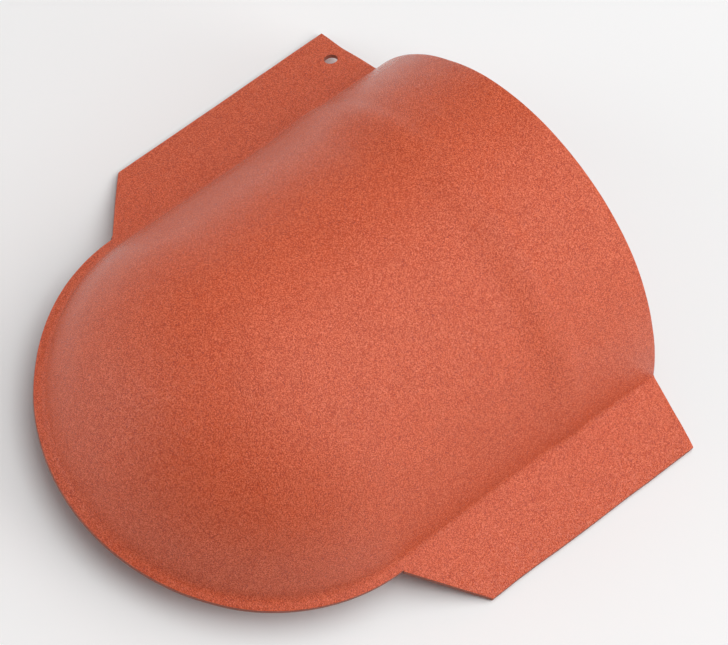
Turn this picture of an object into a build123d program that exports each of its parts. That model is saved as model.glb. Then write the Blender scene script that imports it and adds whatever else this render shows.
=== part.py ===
from build123d import *
import os
from math import cos, pi, radians, sin, sqrt, tan

# Hip end cap: one sheet of plastic, formed over a mould and trimmed. A half-round
# barrel runs out into a domed nose, a raised collar at the open end laps the ridge,
# and a sloped flange lies along each side and on round the nose.
# Millimetres. X runs across the cap, +Y points out of the open end, +Z is up.
# The origin is under the middle of the cap, level with the flanges' lowest edges.

# Sheet
wall = 2.0

# Collar at the open end, measured on its outside
collar_radius = 98.0
collar_length = 41.0

# Shoulder between collar and barrel: a low crest, then a soft step down
crest_rise = 0.8
crest_length = 8.0
shoulder_length = 22.0
shoulder_drop = 3.5

# Side flanges, measured along their slope and down from level
flange_width = 39.0
flange_slope = 26.0
foot_fillet = 4.0

# Open end to the centre of the domed nose, and the ledge left round its foot
straight_length = 157.0
rim_ledge = 4.5

# Front corners of the flanges are cut off back from the nose's centre
chamfer_length = 27.5

# One fixing hole, in the flange on the -X side
hole_diameter = 6.5
hole_from_edge = 17.0
hole_from_rim = 9.5

# Stations that the crest and the shoulder are lofted through, and how far the
# forms run past the trimmed outline
crest_steps = 3
shoulder_steps = 8
trim_margin = 12.0

slope = radians(flange_slope)
edge_height = wall / cos(slope)
foot_height = flange_width * sin(slope)
collar_foot = sqrt(collar_radius**2 - foot_height**2)
half_width = collar_foot + flange_width * cos(slope)


def crossing(radius, drop):
    """Half the distance between the barrel's two feet, where its arc meets the flanges."""
    rise = tan(slope)
    offset = foot_height + drop + collar_foot * rise
    a = 1 + rise**2
    b = -2 * rise * offset
    c = offset**2 - radius**2
    return (-b + sqrt(b**2 - 4 * a * c)) / (2 * a)


nose_radius = crossing(collar_radius, shoulder_drop) + rim_ledge
overall_length = straight_length + nose_radius
rim_y = overall_length / 2
nose_y = rim_y - straight_length


def section(inset, rise=0.0, drop=0.0):
    """Everything under the outside face of the sheet, taken in by inset all over."""
    reach = half_width + trim_margin
    edge = edge_height - inset / cos(slope)
    toe = edge - trim_margin * tan(slope)
    ridge = edge + half_width * tan(slope)
    floor = -(collar_radius + trim_margin)
    skirt = Polygon((-reach, floor), (reach, floor), (reach, toe), (0, ridge), (-reach, toe), align=None)
    crown = Pos(0, edge_height - drop) * Circle(collar_radius + rise - inset)
    area = skirt + crown
    feet = [corner for corner in area.vertices() if corner.Y > edge]
    return fillet(feet, foot_fillet + inset)


def across(distance):
    """The plane across the cap at a distance in from the open end."""
    return Plane(origin=(0, rim_y - distance, 0), x_dir=(1, 0, 0), z_dir=(0, -1, 0))


def ease(share):
    """A soft start and a soft stop between 0 and 1."""
    return (1 - cos(pi * share)) / 2


def shoulder_stations():
    """Distance from the open end, rise and drop at each station of crest and shoulder."""
    stations = []
    for step in range(crest_steps + 1):
        share = step / crest_steps
        stations.append((collar_length + crest_length * share, crest_rise * ease(share), 0.0))
    for step in range(1, shoulder_steps + 1):
        share = step / shoulder_steps
        distance = collar_length + crest_length + shoulder_length * share
        stations.append((distance, crest_rise * (1 - ease(share)), shoulder_drop * ease(share)))
    return stations


def form(inset):
    """Collar, shoulder, barrel and nose as one solid under the sheet's outside face."""
    collar = extrude(across(-trim_margin) * section(inset), trim_margin + collar_length)
    stations = [across(at) * section(inset, rise, drop) for at, rise, drop in shoulder_stations()]
    shoulder = loft(stations, ruled=True)
    barrel_start = collar_length + crest_length + shoulder_length
    barrel = extrude(across(barrel_start) * section(inset, drop=shoulder_drop), straight_length - barrel_start)
    span = 2 * (half_width + collar_radius + 2 * trim_margin)
    right_half = Pos(span / 2, 0) * Rectangle(span, span)
    half_section = section(inset, drop=shoulder_drop) & right_half
    nose = revolve(across(straight_length) * half_section, Axis((0, nose_y, 0), (0, 0, -1)), 180)
    return collar + shoulder + barrel + nose


def outline():
    """The trimmed edge seen from above, as a tall prism."""
    flange_end = nose_y + chamfer_length
    sides = Polygon(
        (half_width, rim_y),
        (-half_width, rim_y),
        (-half_width, flange_end),
        (-nose_radius, nose_y),
        (nose_radius, nose_y),
        (half_width, flange_end),
        align=None,
    )
    plan = sides + Pos(0, nose_y) * Circle(nose_radius)
    return extrude(plan, collar_radius + edge_height + trim_margin, both=True)


def nail_hole():
    """The punch for the fixing hole, square to the flange."""
    x = -half_width + hole_from_edge * cos(slope)
    z = edge_height + hole_from_edge * sin(slope)
    face = Plane(origin=(x, rim_y - hole_from_rim, z), x_dir=(0, 1, 0), z_dir=(-sin(slope), 0, cos(slope)))
    return face * Cylinder(hole_diameter / 2, 4 * wall)


hip_end_cap = (form(0) - form(wall)) & outline()
hip_end_cap = hip_end_cap - nail_hole()

os.makedirs("parts", exist_ok=True)
export_step(hip_end_cap, "parts/hip_end_cap.step")
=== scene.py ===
import bmesh
import bpy
from math import asin, atan2, cos, degrees, hypot, pi, radians, sin, sqrt, tan
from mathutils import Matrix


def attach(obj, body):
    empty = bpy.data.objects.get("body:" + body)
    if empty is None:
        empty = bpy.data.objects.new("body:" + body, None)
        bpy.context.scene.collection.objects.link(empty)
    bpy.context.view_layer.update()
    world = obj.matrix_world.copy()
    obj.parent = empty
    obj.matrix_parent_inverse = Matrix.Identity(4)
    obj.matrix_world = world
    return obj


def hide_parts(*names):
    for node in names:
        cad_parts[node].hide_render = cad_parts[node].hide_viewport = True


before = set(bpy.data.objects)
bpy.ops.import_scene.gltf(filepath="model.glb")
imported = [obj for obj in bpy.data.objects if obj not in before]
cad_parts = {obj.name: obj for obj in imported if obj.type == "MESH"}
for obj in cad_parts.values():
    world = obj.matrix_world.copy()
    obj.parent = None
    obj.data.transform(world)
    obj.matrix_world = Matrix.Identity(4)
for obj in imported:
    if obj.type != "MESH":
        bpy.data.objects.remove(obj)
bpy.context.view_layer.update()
mm = 0.001
tiny = 1e-6             # metres; two places closer than this are the same
print("stage: frame loaded")


def startEdit(piece):
    bpy.ops.object.select_all(action="DESELECT")
    piece.select_set(True)
    bpy.context.view_layer.objects.active = piece
    bpy.ops.object.mode_set(mode="EDIT")


def pick(kind, test):
    # selects the verts, edges or faces that pass the test, and nothing else
    mode = {"verts": "VERT", "edges": "EDGE", "faces": "FACE"}[kind]
    bpy.ops.mesh.select_mode(type=mode)
    bpy.ops.mesh.select_all(action="DESELECT")
    mesh = bmesh.from_edit_mesh(bpy.context.object.data)
    for item in getattr(mesh, kind):
        if test(item):
            item.select_set(True)
    mesh.select_flush_mode()
    bmesh.update_edit_mesh(bpy.context.object.data)


def extrudeBy(x, y, z):
    bpy.ops.mesh.extrude_region_move(TRANSFORM_OT_translate={"value": (x, y, z)})


def applyModifier(piece, kind, **settings):
    bpy.context.view_layer.objects.active = piece
    modifier = piece.modifiers.new(kind.lower(), kind)
    for key, value in settings.items():
        setattr(modifier, key, value)
    bpy.ops.object.modifier_apply(modifier=modifier.name)


def between(table, at):
    # straight-line reading of a short table of (place, amount)
    if at <= table[0][0]:
        return table[0][1]
    for (a, low), (b, high) in zip(table, table[1:]):
        if at <= b:
            return low + (high - low) * (at - a) / (b - a)
    return table[-1][1]


# the mould's sizes, in millimetres and degrees, as the CAD part has them
cap = {
    "wall": 2.0,
    "collarRadius": 98.0,
    "collarLength": 41.0,
    "crestRise": 0.8,
    "crestLength": 8.0,
    "shoulderLength": 22.0,
    "shoulderDrop": 3.5,
    "flangeWidth": 39.0,
    "flangeSlope": 26.0,
    "footFillet": 4.0,
    "footTurn": 54,             # angle the sheet turns through at the foot of the crown
    "straightLength": 157.0,
    "rimLedge": 4.5,
    "holeDiameter": 6.5,
    "holeFromEdge": 17.0,
    "holeFromRim": 9.5,
    "flangeTop": 24,            # every point of the flanges lies below this height
    "edgeBreak": 0.22,          # how far the cut edges are broken
    "waves": [("slow_waves", 34, 0.5), ("quick_waves", 11, 0.12)],     # name, length and height
    "waveLevel": 0.62,          # share of a wave's height that stands below the mould's face
    "rearEdge": 1.2,            # this near the open end the flanges' edges stay square to the sheet,
    "outerCorner": 1.0,         # but not at their outer corners, this near the side
}

# how finely the sheet is divided, and the angles that tell an edge from a smooth turn
meshing = {
    "cell": 2.4,                # length of a face, in millimetres
    "arcSteps": 112,            # faces from foot to foot over the crown
    "noseSteps": 128,           # faces round the nose
    "crestSteps": 4,
    "shoulderSteps": 9,
    "flangeSpan": (15, 60),     # an edge this long, in millimetres, crosses the flange,
    "flangeCuts": 13,           # which is divided by so many lines,
    "ledgeSpan": (4.3, 15),     # and an edge this long crosses the ledge, which is halved
    "weld": 0.01,               # points closer than this, in millimetres, become one
    "onCollar": 0.1,            # and one this close to the collar's radius lies on it
    "filletSegments": 5,
    "holeSides": 48,
    "footAngle": 35,
    "edgeAngle": 50,
    "smoothAngle": 32,
}

slope = radians(cap["flangeSlope"])
edgeHeight = cap["wall"] / cos(slope) * mm
footHeight = cap["flangeWidth"] * sin(slope) * mm
radius = cap["collarRadius"] * mm
collarFoot = sqrt(radius**2 - footHeight**2)
halfWidth = collarFoot + cap["flangeWidth"] * cos(slope) * mm
flangeTop = cap["flangeTop"] * mm


def footAt(arcRadius, drop):
    # half distance between the two feet, where the crown's arc meets the flanges
    rise = tan(slope)
    offset = footHeight + drop + collarFoot * rise
    a, b, c = 1 + rise**2, -2 * rise * offset, offset**2 - arcRadius**2
    return (-b + sqrt(b**2 - 4 * a * c)) / (2 * a)


noseRadius = footAt(radius, cap["shoulderDrop"] * mm) + cap["rimLedge"] * mm
rimY = (cap["straightLength"] * mm + noseRadius) / 2
noseY = rimY - cap["straightLength"] * mm

# where the hand-cut edges leave the mould's outline, read off the photograph, in mm:
# each pair is a place and how far the edge stands outside the outline there
trim = {
    # places along the cap, from its middle
    "farEdge": [(-30, -1.9), (0, -1.6), (30, -1.2), (60, -0.75), (90, -0.3), (129, 0)],
    "nearEdge": [(-30, 0), (3, -0.05), (9, -0.1), (18, -0.35), (30, -0.3), (42, -0.1), (56, 0), (70, -0.05),
                 (88, -0.25), (100, -0.15), (129, -0.3)],
    # places up the flange's slope, from its outer edge
    "farRear": [(0, 0), (6, -0.2), (10, -0.45), (15, -0.7), (20, -0.4), (25, -0.15), (30, 0), (40, 0)],
    "nearRear": [(0, -0.4), (5, -0.1), (12, 0), (20, -0.1), (30, 0), (40, 0)],
    "rearReach": 25,            # how far in from the open end those two still show
    # degrees round the nose's ledge, from the near side
    "ledge": [(0, 0), (20, 0), (45, 0), (52, -0.25), (60, -0.2), (70, -0.25), (84, -0.1), (100, 0),
              (126, -0.1), (136, -0.3), (148, 0), (160, 0.35), (180, 0.65)],
    # degrees over the collar's rim, from the near side
    "arch": [(10, 0.4), (18, -0.3), (29, -1.0), (40, -0.8), (49, -0.2), (60, 0), (75, 0.35), (93, 0.65),
             (104, 0.5), (117, 0.1), (125, -0.5), (131, -0.9), (140, -0.6), (154, -0.4), (170, 0.3)],
    # two points (x, y) on the line that cuts each front corner off
    "nearChamfer": ((100.6, -28.6), (131.0, -1.8)),
    "farChamfer": ((-100.6, -28.9), (-129.8, -1.1)),
}


def ease(share):
    # a soft start and a soft stop between 0 and 1
    return (1 - cos(pi * share)) / 2


def stations():
    # (y, rise, drop) of each drawn section, from the open end to the nose
    rows = [(0, 0, 0)]
    for step in range(meshing["crestSteps"] + 1):
        share = step / meshing["crestSteps"]
        rows.append((cap["collarLength"] + cap["crestLength"] * share, cap["crestRise"] * ease(share), 0))
    for step in range(1, meshing["shoulderSteps"] + 1):
        share = step / meshing["shoulderSteps"]
        at = cap["collarLength"] + cap["crestLength"] + cap["shoulderLength"] * share
        rows.append((at, cap["crestRise"] * (1 - ease(share)), cap["shoulderDrop"] * ease(share)))
    rows.append((cap["straightLength"], 0, cap["shoulderDrop"]))
    return [(rimY - at * mm, rise * mm, drop * mm) for at, rise, drop in rows]


def drawSection(y, rise, drop):
    # one section as a line: up the near flange, over the crown, down the far flange
    arcRadius = radius + rise
    foot = footAt(arcRadius, drop)
    footZ = edgeHeight + (halfWidth - foot) * tan(slope)
    centreZ = edgeHeight - drop
    lean = asin((footZ - centreZ) / arcRadius)
    ledge = cap["rimLedge"] * mm
    out = halfWidth - foot - ledge
    bpy.ops.mesh.primitive_plane_add(size=mm, location=(halfWidth, y, edgeHeight))
    bpy.ops.mesh.merge(type="CENTER")
    extrudeBy(-out, 0, out * tan(slope))
    extrudeBy(-ledge, 0, ledge * tan(slope))
    turn = pi - 2 * lean
    bpy.ops.mesh.spin(steps=meshing["arcSteps"], angle=turn, center=(0, y, centreZ), axis=(0, 1, 0))
    extrudeBy(-ledge, 0, -ledge * tan(slope))
    extrudeBy(-out, 0, -out * tan(slope))


def buildSheet():
    bpy.ops.object.select_all(action="DESELECT")
    bpy.ops.mesh.primitive_plane_add(size=mm, location=(0, 0, 0))
    sheet = bpy.context.object
    sheet.name = "end_cap_shell"
    startEdit(sheet)
    bpy.ops.mesh.delete(type="VERT")
    rows = stations()
    for row in rows:
        drawSection(*row)
    for (yA, _, _), (yB, _, _) in zip(rows, rows[1:]):
        pick("edges", lambda e: all(min(abs(v.co.y - yA), abs(v.co.y - yB)) < tiny for v in e.verts))
        cuts = max(0, round((yA - yB) / (meshing["cell"] * mm)) - 1)
        bpy.ops.mesh.bridge_edge_loops(number_cuts=cuts, interpolation="LINEAR")
    print("stage: sections bridged")

    # half of the last section, without its flange, spins round to make the nose
    reach = noseRadius + tiny
    pick("edges", lambda e: all(abs(v.co.y - noseY) < tiny and -tiny < v.co.x < reach for v in e.verts))
    bpy.ops.mesh.spin(steps=meshing["noseSteps"], angle=pi, center=(0, noseY, 0), axis=(0, 0, 1))
    bpy.ops.mesh.select_all(action="SELECT")
    bpy.ops.mesh.remove_doubles(threshold=meshing["weld"] * mm)
    return sheet


def cutFlanges():
    # the wide flange strips are divided, and their front corners cut off
    def across(low, high):
        def test(edge):
            a, b = (vert.co for vert in edge.verts)
            level = abs(a.y - b.y) < tiny and max(a.z, b.z) < flangeTop
            return level and low * mm < abs(a.x - b.x) < high * mm
        return test
    pick("edges", across(*meshing["flangeSpan"]))
    bpy.ops.mesh.subdivide(number_cuts=meshing["flangeCuts"])
    pick("edges", across(*meshing["ledgeSpan"]))
    bpy.ops.mesh.subdivide(number_cuts=1)
    for side, (inner, outer) in ((1, trim["nearChamfer"]), (-1, trim["farChamfer"])):
        start = noseRadius - tiny
        pick("faces", lambda f: all(v.co.x * side > start and v.co.y > noseY - tiny for v in f.verts))
        place = (inner[0] * mm, inner[1] * mm, 0)
        square = (side * (outer[1] - inner[1]), -side * (outer[0] - inner[0]), 0)
        bpy.ops.mesh.bisect(plane_co=place, plane_no=square, clear_outer=True)


def softenFeet():
    # the crease along the foot of the crown becomes the mould's fillet
    bpy.ops.mesh.select_mode(type="EDGE")
    bpy.ops.mesh.select_all(action="DESELECT")
    bpy.ops.mesh.edges_select_sharp(sharpness=radians(meshing["footAngle"]))
    reach = cap["footFillet"] * mm * tan(radians(cap["footTurn"]) / 2)
    bpy.ops.mesh.bevel(offset_type="OFFSET", offset=reach, segments=meshing["filletSegments"], profile=0.5,
                       affect="EDGES")


def handShape(sheet):
    # moves the sheet's points so that its cut edges run as they do in the photograph
    bpy.ops.mesh.select_all(action="DESELECT")
    mesh = bmesh.from_edit_mesh(sheet.data)
    footLine = noseRadius - cap["rimLedge"] * mm
    for vert in mesh.verts:
        x, y, z = vert.co

        # flanges: the long edges, and the rear edges at the open end
        side = 1 if x > 0 else -1
        share = (abs(x) - footLine) / (halfWidth - footLine)
        fromEdge = (halfWidth - abs(x)) / cos(slope) / mm
        if share > 0 and y > noseY - tiny and z < flangeTop:
            move = between(trim["nearEdge" if side > 0 else "farEdge"], y / mm) * mm * share**2
            vert.co.x += side * move
            vert.co.z -= move * tan(slope)
            back = max(0, 1 - (rimY - y) / (trim["rearReach"] * mm))
            vert.co.y += between(trim["nearRear" if side > 0 else "farRear"], fromEdge) * mm * back**2

        # the ledge round the nose
        if y < noseY + tiny:
            away = hypot(x, y - noseY)
            turn = degrees(atan2(noseY - y, x))
            grow = max(0, (away - footLine) / (cap["rimLedge"] * mm)) * between(trim["ledge"], turn) * mm
            if grow:
                vert.co.x += grow * x / away
                vert.co.y += grow * (y - noseY) / away
                vert.co.z -= grow * tan(slope)

        # the collar's arch, most at its rim
        lap = max(0, 1 - (rimY - y) / (cap["collarLength"] * mm))
        if lap and abs(hypot(x, z - edgeHeight) - radius) < meshing["onCollar"] * mm:
            turn = atan2(z - edgeHeight, x)
            move = between(trim["arch"], degrees(turn)) * mm * lap**2
            vert.co.x += move * cos(turn)
            vert.co.z += move * sin(turn)
    bmesh.update_edit_mesh(sheet.data)


def thicken(sheet):
    # the wall goes inwards, and each trimmed edge is cut straight down, as the press cut it
    mesh = sheet.data
    count = len(mesh.vertices)      # a point's twin on the inside comes this many places after it
    users = {}
    for polygon in mesh.polygons:
        for key in polygon.edge_keys:
            users[key] = users.get(key, 0) + 1
    openPoints = {index for key, used in users.items() if used == 1 for index in key}
    rearLine = rimY - cap["rearEdge"] * mm
    sideLine = halfWidth - cap["outerCorner"] * mm
    cut = []
    for index in openPoints:
        x, y, z = mesh.vertices[index].co
        if z < flangeTop and (y < rearLine or abs(x) > sideLine):
            cut.append(index)
    applyModifier(sheet, "SOLIDIFY", thickness=cap["wall"] * mm, offset=-1, use_even_offset=True,
                  use_rim=True, material_offset=1, material_offset_rim=2)
    mesh = sheet.data
    print("stage: thickened,", count, "points on one side,", len(mesh.vertices), "in all")
    for index in cut:
        top, under = mesh.vertices[index].co, mesh.vertices[index + count].co
        under.x, under.y, under.z = top.x, top.y, max(0, top.z - edgeHeight)


def punchHole(sheet):
    # a nail hole, square to the far flange
    x = -halfWidth + cap["holeFromEdge"] * cos(slope) * mm
    y = rimY - cap["holeFromRim"] * mm
    z = edgeHeight + cap["holeFromEdge"] * sin(slope) * mm
    bpy.ops.object.select_all(action="DESELECT")
    bpy.ops.mesh.primitive_cylinder_add(vertices=meshing["holeSides"], radius=cap["holeDiameter"] / 2 * mm,
                                        depth=4 * cap["wall"] * mm, location=(x, y, z),
                                        rotation=(0, -slope, 0))
    punch = bpy.context.object
    punch.data.polygons.foreach_set("material_index", [2] * len(punch.data.polygons))
    applyModifier(sheet, "BOOLEAN", operation="DIFFERENCE", object=punch, solver="EXACT")
    bpy.data.objects.remove(punch)


def makeCap():
    # slot 0 is the grained face, slot 1 the back of the sheet and slot 2 its cut edges
    sheet = buildSheet()
    for material in (leatherGrainPlastic(), plainPlastic(underside), plainPlastic(cutEdge)):
        sheet.data.materials.append(material)
    cutFlanges()
    softenFeet()
    bpy.ops.mesh.select_mode(type="VERT")
    bpy.ops.mesh.select_all(action="SELECT")
    bpy.ops.mesh.normals_make_consistent(inside=False)
    mesh = bmesh.from_edit_mesh(sheet.data)
    mesh.faces.ensure_lookup_table()
    crown = max(mesh.faces, key=lambda f: f.calc_center_median().z)
    if crown.normal.z < 0:
        bpy.ops.mesh.flip_normals()
    handShape(sheet)
    bpy.ops.object.mode_set(mode="OBJECT")
    bpy.ops.object.transform_apply(location=True, rotation=True, scale=True)
    print("stage: sheet shaped,", len(sheet.data.polygons), "faces")
    for name, size, strength in cap["waves"]:
        waves = bpy.data.textures.new(name, "CLOUDS")
        waves.noise_scale = size * mm
        waves.noise_depth = 1
        applyModifier(sheet, "DISPLACE", texture=waves, texture_coords="LOCAL", strength=strength * mm,
                      mid_level=cap["waveLevel"])
    thicken(sheet)
    applyModifier(sheet, "BEVEL", width=cap["edgeBreak"] * mm, segments=2, limit_method="ANGLE",
                  angle_limit=radians(meshing["edgeAngle"]))
    punchHole(sheet)
    bpy.ops.object.select_all(action="DESELECT")
    sheet.select_set(True)
    bpy.context.view_layer.objects.active = sheet
    bpy.ops.object.shade_smooth_by_angle(angle=radians(meshing["smoothAngle"]))
    print("stage: cap finished,", len(sheet.data.polygons), "faces")
    return sheet


def linearColour(hexValue):
    # sRGB hex to the linear colour that the shaders want
    channels = [int(hexValue[i:i + 2], 16) / 255 for i in (1, 3, 5)]
    return [c / 12.92 if c <= 0.04045 else ((c + 0.055) / 1.055) ** 2.4 for c in channels] + [1]


def addNode(tree, kind, options=None, values=None, links=None):
    # adds a node, sets its options and its sockets' values, and links its inputs
    node = tree.nodes.new(kind)
    for key, value in (options or {}).items():
        setattr(node, key, value)
    for key, value in (values or {}).items():
        node.inputs[key].default_value = value
    for key, source in (links or {}).items():
        tree.links.new(source, node.inputs[key])
    return node


noiseLow, noiseHigh = 0.35, 0.65        # nearly all of a noise's values lie between these

# terracotta polypropylene, formed in a leather-grained mould: a low sheen broken by fine creases
plastic = {
    "colour": "#D85730",
    "valley": "#B03417",        # painted shade between the grain's high points
    "crest": "#F17B55",         # painted highlight on the grain's high points, paler where a sheen would catch them
    "roughness": 0.20,
    "glossSwing": 0.08,         # duller in the valleys and glossier on the crests, by this much
    "ior": 1.49,
    "specular": 0.46,
    "creaseMm": 2.0,            # distance between the leather grain's long creases
    "shortCreaseMm": 1.2,       # and between its short ones
    "grainMm": 0.45,            # the fine pebbling between them, drawn coarser than real so as to show
    "mottleMm": 13.0,           # slow change of tone over the sheet
    "tintSwing": 0.02,          # how much that change is
    "depthMm": 0.16,
    "creaseDepth": 0.30,        # share of the depth that each pattern takes
    "shortCreaseDepth": 0.24,
    "grainDepth": 1.3,
    "grainMiddle": 0.5,         # share of its depth at which each pattern's middle lies
    "creaseMiddle": 0.4,
    "creaseWidth": 0.05,        # share of a crease pattern's range that lies in its creases
    "valleyBelow": 0.28,        # how far under the middle height the valley's painted shade is reached
    "heightSpan": 0.84,         # and how far above that the crest's painted highlight is
    "patterns": [("crease", 2, 0.3), ("shortCrease", 2, 0.3), ("grain", 0, 0), ("mottle", 2, 0)],
}


def leatherGrainPlastic():
    material = bpy.data.materials.new("terracotta_leather_grain_polypropylene")
    material.use_nodes = True
    tree = material.node_tree
    tree.nodes.clear()
    place = addNode(tree, "ShaderNodeTexCoord").outputs["Object"]
    noise = {}
    for name, detail, distortion in plastic["patterns"]:
        values = {"Scale": 1 / (plastic[name + "Mm"] * mm), "Detail": detail, "Roughness": 0.6,
                  "Distortion": distortion}
        noise[name] = addNode(tree, "ShaderNodeTexNoise", {}, values, {"Vector": place}).outputs["Fac"]

    # a crease runs where its noise crosses the middle, and the fine grain lies between
    height = addNode(tree, "ShaderNodeMath", {"operation": "MULTIPLY"}, {1: plastic["grainDepth"]},
                     {0: noise["grain"]}).outputs[0]
    for name in ("crease", "shortCrease"):
        fold = addNode(tree, "ShaderNodeMath", {"operation": "PINGPONG"}, {1: 0.5},
                       {0: noise[name]}).outputs[0]
        valley = addNode(tree, "ShaderNodeMapRange", {"interpolation_type": "SMOOTHSTEP"},
                         {"From Min": 0.5, "From Max": 0.5 - plastic["creaseWidth"]},
                         {"Value": fold}).outputs["Result"]
        height = addNode(tree, "ShaderNodeMath", {"operation": "MULTIPLY_ADD"}, {1: plastic[name + "Depth"]},
                         {0: valley, 2: height}).outputs[0]
    bump = addNode(tree, "ShaderNodeBump", {}, {"Strength": 1.0, "Distance": plastic["depthMm"] * mm},
                   {"Height": height}).outputs["Normal"]

    # the colour follows the height, with painted shade in the hollows and a painted highlight on the high
    # points; the gloss follows it too, and a slow tint runs over them
    creases = plastic["creaseDepth"] + plastic["shortCreaseDepth"]
    middle = plastic["grainMiddle"] * plastic["grainDepth"] + plastic["creaseMiddle"] * creases
    low = middle - plastic["valleyBelow"]
    high = low + plastic["heightSpan"]
    level = addNode(tree, "ShaderNodeMapRange", {}, {"From Min": low, "From Max": high},
                    {"Value": height}).outputs["Result"]
    ramp = addNode(tree, "ShaderNodeValToRGB", {}, {}, {"Fac": level})
    # stops from painted shade in the valleys, through the plastic's own colour, to a painted highlight on
    # the crests
    for index, (position, shade) in enumerate(((0.0, "valley"), (1.0, "crest"), (0.5, "colour"))):
        stop = ramp.color_ramp.elements[index] if index < 2 else ramp.color_ramp.elements.new(position)
        stop.position = position
        stop.color = linearColour(plastic[shade])
    darker, lighter = 1 - plastic["tintSwing"], 1 + plastic["tintSwing"]
    tint = addNode(tree, "ShaderNodeMapRange", {},
                   {"From Min": noiseLow, "From Max": noiseHigh, "To Min": darker, "To Max": lighter},
                   {"Value": noise["mottle"]}).outputs["Result"]
    colour = addNode(tree, "ShaderNodeVectorMath", {"operation": "SCALE"}, {},
                     {0: ramp.outputs["Color"], "Scale": tint}).outputs[0]
    dull, bright = plastic["roughness"] + plastic["glossSwing"], plastic["roughness"] - plastic["glossSwing"]
    gloss = addNode(tree, "ShaderNodeMapRange", {},
                    {"From Min": low, "From Max": high, "To Min": dull, "To Max": bright},
                    {"Value": height}).outputs["Result"]
    shader = addNode(tree, "ShaderNodeBsdfPrincipled", {},
                     {"IOR": plastic["ior"], "Specular IOR Level": plastic["specular"]},
                     {"Base Color": colour, "Roughness": gloss, "Normal": bump})
    addNode(tree, "ShaderNodeOutputMaterial", {}, {}, {"Surface": shader.outputs[0]})
    return material


# the back of the sheet, which no mould grained: smoother and a little duller
underside = {
    "name": "terracotta_smooth_polypropylene",
    "colour": "#C9583A",
    "shade": "#BB4C30",
    "patchMm": 6.0,             # size of the patches where it is a little darker
    "roughness": 0.42,
    "glossSwing": 0.06,
    "depthMm": 0.05,
}

# where the sheet was cut off: duller, and darker and greyer than its faces, the darkness a painted shade on
# these thin edges
cutEdge = {
    "name": "terracotta_cut_polypropylene",
    "colour": "#A85F49",
    "shade": "#8C4938",
    "patchMm": 0.9,             # size of the marks that the cutting left
    "roughness": 0.62,
    "glossSwing": 0.06,
    "depthMm": 0.03,
}


def plainPlastic(look):
    material = bpy.data.materials.new(look["name"])
    material.use_nodes = True
    tree = material.node_tree
    tree.nodes.clear()
    place = addNode(tree, "ShaderNodeTexCoord").outputs["Object"]
    patches = addNode(tree, "ShaderNodeTexNoise", {}, {"Scale": 1 / (look["patchMm"] * mm), "Detail": 3},
                      {"Vector": place}).outputs["Fac"]
    ramp = addNode(tree, "ShaderNodeValToRGB", {}, {}, {"Fac": patches})
    for index, (position, shade) in enumerate(((noiseLow, "shade"), (noiseHigh, "colour"))):
        ramp.color_ramp.elements[index].position = position
        ramp.color_ramp.elements[index].color = linearColour(look[shade])
    bright, dull = look["roughness"] - look["glossSwing"], look["roughness"] + look["glossSwing"]
    gloss = addNode(tree, "ShaderNodeMapRange", {},
                    {"From Min": noiseLow, "From Max": noiseHigh, "To Min": bright, "To Max": dull},
                    {"Value": patches}).outputs["Result"]
    bump = addNode(tree, "ShaderNodeBump", {}, {"Strength": 1.0, "Distance": look["depthMm"] * mm},
                   {"Height": patches}).outputs["Normal"]
    shader = addNode(tree, "ShaderNodeBsdfPrincipled", {},
                     {"IOR": plastic["ior"], "Specular IOR Level": plastic["specular"]},
                     {"Base Color": ramp.outputs["Color"], "Roughness": gloss, "Normal": bump})
    addNode(tree, "ShaderNodeOutputMaterial", {}, {}, {"Surface": shader.outputs[0]})
    return material


endCap = makeCap()
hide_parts("hip_end_cap")
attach(endCap, "root")


def seenDirectly(tree):
    # 1 where the camera, a reflection or a clear part looks straight at the background
    path = addNode(tree, "ShaderNodeLightPath")
    seen = path.outputs["Is Camera Ray"]
    for ray in ("Is Glossy Ray", "Is Transmission Ray"):
        seen = addNode(tree, "ShaderNodeMath", {"operation": "MAXIMUM"}, {},
                       {0: seen, 1: path.outputs[ray]}).outputs[0]
    return seen


# white paper that looks white, but throws back only as much light as the photograph's table did
floorLook = {
    "seen": 1.0,
    "bounce": 0.8,
    "size": 8,                  # metres
    "gap": 0.0003,              # metres under the cap's lowest edges, so that the two don't touch
}


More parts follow.
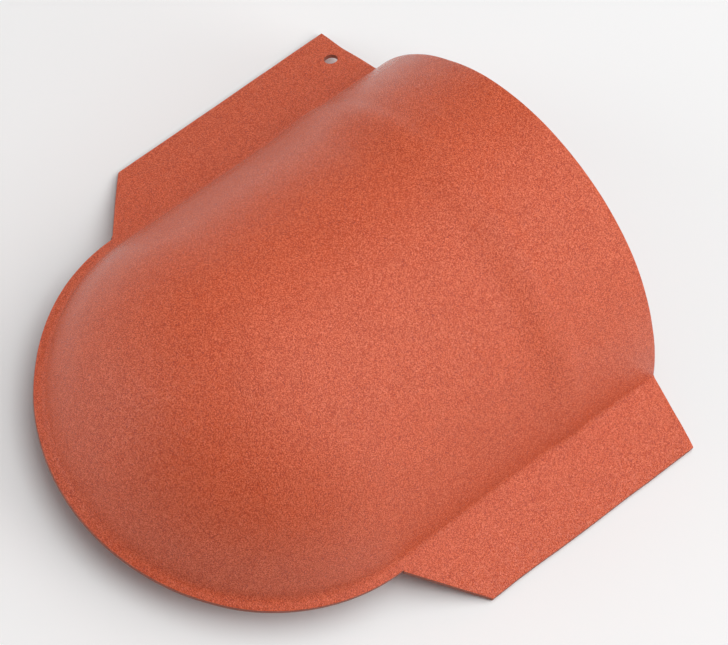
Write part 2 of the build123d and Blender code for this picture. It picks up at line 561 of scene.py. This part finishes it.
def makeFloor():
    bpy.ops.object.select_all(action="DESELECT")
    bpy.ops.mesh.primitive_plane_add(size=floorLook["size"], location=(0, 0, -floorLook["gap"]))
    floor = bpy.context.object
    floor.name = "studio_floor"
    bpy.ops.object.transform_apply(location=True)
    material = bpy.data.materials.new("white_paper_floor")
    material.use_nodes = True
    tree = material.node_tree
    tree.nodes.clear()
    shade = addNode(tree, "ShaderNodeMapRange", {},
                    {"To Min": floorLook["bounce"], "To Max": floorLook["seen"]},
                    {"Value": seenDirectly(tree)}).outputs["Result"]
    paper = addNode(tree, "ShaderNodeBsdfDiffuse", {}, {}, {"Color": shade})
    addNode(tree, "ShaderNodeOutputMaterial", {}, {}, {"Surface": paper.outputs[0]})
    floor.data.materials.append(material)


def addLamp(name, location, size, watts, aim=(0, 0, 0.05)):
    bpy.ops.object.light_add(type="AREA", location=location)
    lamp = bpy.context.object
    lamp.name = name
    lamp.data.shape = "DISK"
    lamp.data.size = size
    lamp.data.energy = watts
    away = [a - b for a, b in zip(location, aim)]
    lamp.rotation_euler = (atan2(hypot(away[0], away[1]), away[2]), 0, atan2(away[1], away[0]) + pi / 2)


# place and diameter in metres and power in watts of each round lamp
lamps = {
    "ceiling_softbox": ((0.32, 0.48, 1.49), 2.6, 27.5),
    "side_window": ((1.30, 0.70, 0.70), 0.8, 4.6),
    "left_panel": ((-1.05, 0.05, 0.85), 2.0, 1.1),
    "front_fill": ((-0.85, -1.06, 0.42), 0.9, 5.2),
}

makeFloor()
for name, (location, size, watts) in lamps.items():
    addLamp(name, location, size, watts)

room = {"light": 0.12}          # what the white room adds from all round
world = bpy.data.worlds.new("pale_studio")
bpy.context.scene.world = world
world.use_nodes = True
world.node_tree.nodes["Background"].inputs["Color"].default_value = (1, 1, 1, 1)
world.node_tree.nodes["Background"].inputs["Strength"].default_value = room["light"]

# where the photograph was taken from, worked out from the cap's rim, edges and foot in it
photoView = {
    "location": (0.477337, -0.884922, 1.882913),
    "turn": (26.977, -11.432, 48.728),
    "sensor": 36,
    "lens": 234.69,
    "farthest": 20,
}
camera = bpy.data.objects.new("photo_camera", bpy.data.cameras.new("photo_camera"))
bpy.context.scene.collection.objects.link(camera)
camera.location = photoView["location"]
camera.rotation_euler = [radians(angle) for angle in photoView["turn"]]
camera.data.sensor_width = photoView["sensor"]
camera.data.lens = photoView["lens"]
camera.data.clip_end = photoView["farthest"]
bpy.context.scene.camera = camera
bpy.context.scene.view_settings.view_transform = "Standard"
print("stage: studio ready")
